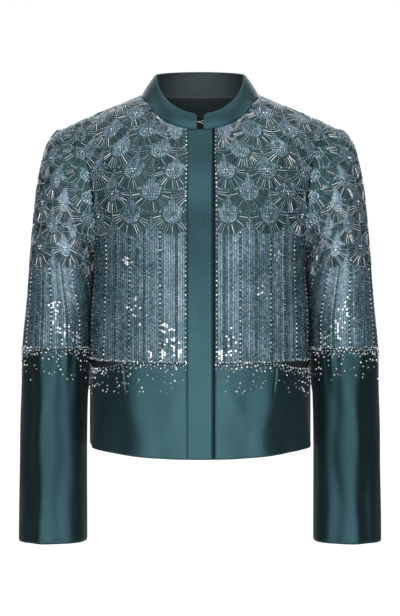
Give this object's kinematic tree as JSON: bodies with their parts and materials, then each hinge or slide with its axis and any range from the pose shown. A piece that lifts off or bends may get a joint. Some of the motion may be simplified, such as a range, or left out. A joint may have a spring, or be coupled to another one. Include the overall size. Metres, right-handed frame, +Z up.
{
  "type": "jacket",
  "caption": "Cropped evening jacket with a stand collar, a hidden front closing, a beaded upper part and a plain satin hem band and lower sleeves, in its hollow worn form.",
  "frame": {"origin": "the middle of the neck, at the height where the shoulder seams meet the collar", "axes": "+X the wearer's left, -Y the front, +Z up"},
  "size_m": [0.526, 0.23, 0.6908],
  "materials": {
    "beaded_satin": "teal satin covered with sequins, bugle beads and crystals",
    "teal_satin": "heavy duchesse satin",
    "dark_facing": "plain dark woven facing",
    "steel_wire": "polished steel wire"
  },
  "bodies": {
    "root": {"back_upper": "beaded_satin", "front_left_upper": "beaded_satin", "front_right_upper": "beaded_satin", "sleeve_left_upper": "beaded_satin", "sleeve_right_upper": "beaded_satin", "back_band": "teal_satin", "front_left_band": "teal_satin", "front_placket": "teal_satin", "front_right_band": "teal_satin", "front_underlap": "teal_satin", "sleeve_left_lower": "teal_satin", "sleeve_right_lower": "teal_satin", "stand_collar": "teal_satin", "back_neck_facing": "dark_facing", "pocket_left": "dark_facing", "pocket_right": "dark_facing", "collar_eye": "steel_wire", "collar_hook": "steel_wire"}
  },
  "joints": []
}
